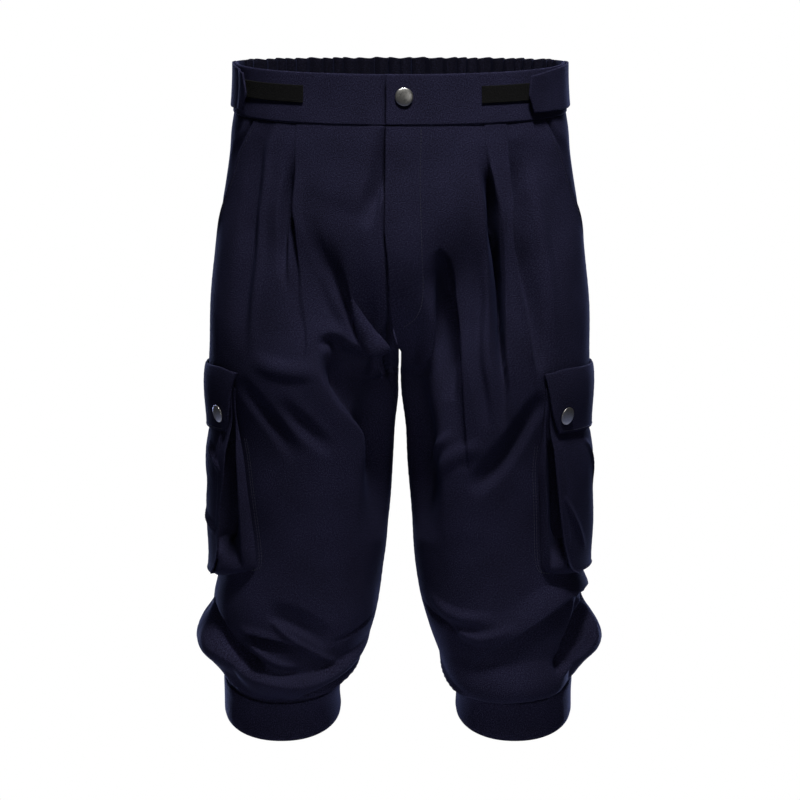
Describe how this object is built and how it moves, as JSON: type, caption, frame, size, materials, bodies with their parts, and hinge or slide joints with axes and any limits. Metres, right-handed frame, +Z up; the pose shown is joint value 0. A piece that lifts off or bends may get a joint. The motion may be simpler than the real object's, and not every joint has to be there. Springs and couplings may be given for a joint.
{
  "type": "knee breeches",
  "caption": "Loose wool knee breeches with pleated fronts, side tabs, elastic back waist, cargo pockets and bands below the knee, filled out as if worn.",
  "frame": {"origin": "middle of the waist, at half the height of the waistband over the side seams", "axes": "+Z up, the front faces -Y, +X to the wearer's left"},
  "size_m": [0.4036, 0.2652, 0.6752],
  "materials": {
    "wool": "matt, lightly brushed",
    "loop_tape": "matt loop pile",
    "snap": "satin"
  },
  "bodies": {
    "root": {"front_right": "wool", "back_right": "wool", "hip_facing_right": "wool", "waistband_front_right": "wool", "loop_tape_right": "loop_tape", "side_tab_right": "wool", "cargo_gusset_right": "wool", "cargo_face_right": "wool", "cargo_flap_right": "wool", "knee_band_right": "wool", "flap_snap_right_front": "snap", "flap_snap_right_back": "snap", "front_left": "wool", "back_left": "wool", "hip_facing_left": "wool", "waistband_front_left": "wool", "loop_tape_left": "loop_tape", "side_tab_left": "wool", "cargo_gusset_left": "wool", "cargo_face_left": "wool", "cargo_flap_left": "wool", "knee_band_left": "wool", "flap_snap_left_front": "snap", "flap_snap_left_back": "snap", "waistband_back": "wool", "waist_snap": "snap"}
  },
  "joints": []
}
